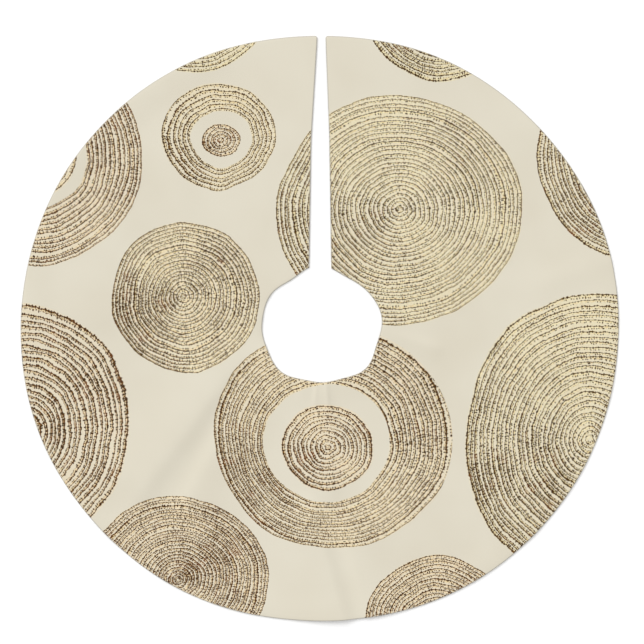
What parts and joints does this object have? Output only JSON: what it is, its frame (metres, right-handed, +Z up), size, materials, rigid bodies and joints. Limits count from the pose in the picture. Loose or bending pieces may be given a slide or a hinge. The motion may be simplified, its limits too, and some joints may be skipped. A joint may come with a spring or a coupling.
{
  "type": "tree skirt",
  "caption": "Round flat cloth skirt with a central trunk hole and a slit from hole to rim, printed with ringed rounds, folding in half and closing with tabs.",
  "frame": {"origin": "on the floor, in the middle of the round, on the axis of the trunk hole", "axes": "+Z up out of the printed face, +Y from the trunk hole out along the slit, +X to the right of the slit seen from above"},
  "size_m": [1.118, 1.096, 0.0033],
  "materials": {
    "printed_cloth": "brushed polyester with a gold and brown print of ringed rounds",
    "plain_facing": "plain woven polyester tape",
    "thread": "cream polyester thread",
    "tab_webbing": "woven webbing",
    "hook_tape": "moulded hook tape",
    "loop_tape": "brushed loop tape",
    "label_satin": "blank satin ribbon"
  },
  "bodies": {
    "right_half": {"face_panel_right": "printed_cloth", "loop_patch_middle": "loop_tape", "loop_patch_neck": "loop_tape", "loop_patch_rim": "loop_tape", "neck_facing_right": "plain_facing", "neck_hem_stitches_right": "thread", "rim_facing_right": "plain_facing", "rim_hem_stitches_right": "thread", "slit_facing_right": "plain_facing", "slit_hem_stitches_right": "thread"},
    "left_half": {"care_label": "label_satin", "face_panel_left": "printed_cloth", "neck_facing_left": "plain_facing", "neck_hem_stitches_left": "thread", "rim_facing_left": "plain_facing", "rim_hem_stitches_left": "thread", "slit_facing_left": "plain_facing", "slit_hem_stitches_left": "thread", "tab_anchor_middle": "tab_webbing", "tab_anchor_neck": "tab_webbing", "tab_anchor_rim": "tab_webbing", "tab_bar_tacks_middle": "thread", "tab_bar_tacks_neck": "thread", "tab_bar_tacks_rim": "thread"},
    "tab_neck": {"tab_strap_neck": "tab_webbing", "hook_patch_neck": "hook_tape"},
    "tab_middle": {"tab_strap_middle": "tab_webbing", "hook_patch_middle": "hook_tape"},
    "tab_rim": {"tab_strap_rim": "tab_webbing", "hook_patch_rim": "hook_tape"}
  },
  "joints": [
    {"name": "fold_in_half", "type": "hinge", "parent": "right_half", "child": "left_half", "pos_m": [0, 0, 0.008], "axis": [0, 1, 0], "range_deg": [0, 180]},
    {"name": "tab_neck_swing", "type": "hinge", "parent": "left_half", "child": "tab_neck", "pos_m": [-0.02108, 0.16, 0.00055], "axis": [0, -1, 0], "range_deg": [0, 180]},
    {"name": "tab_middle_swing", "type": "hinge", "parent": "left_half", "child": "tab_middle", "pos_m": [-0.01846, 0.33, 0.00055], "axis": [0, -1, 0], "range_deg": [0, 180]},
    {"name": "tab_rim_swing", "type": "hinge", "parent": "left_half", "child": "tab_rim", "pos_m": [-0.0113, 0.5, 0.00055], "axis": [0, -1, 0], "range_deg": [0, 180]}
  ]
}
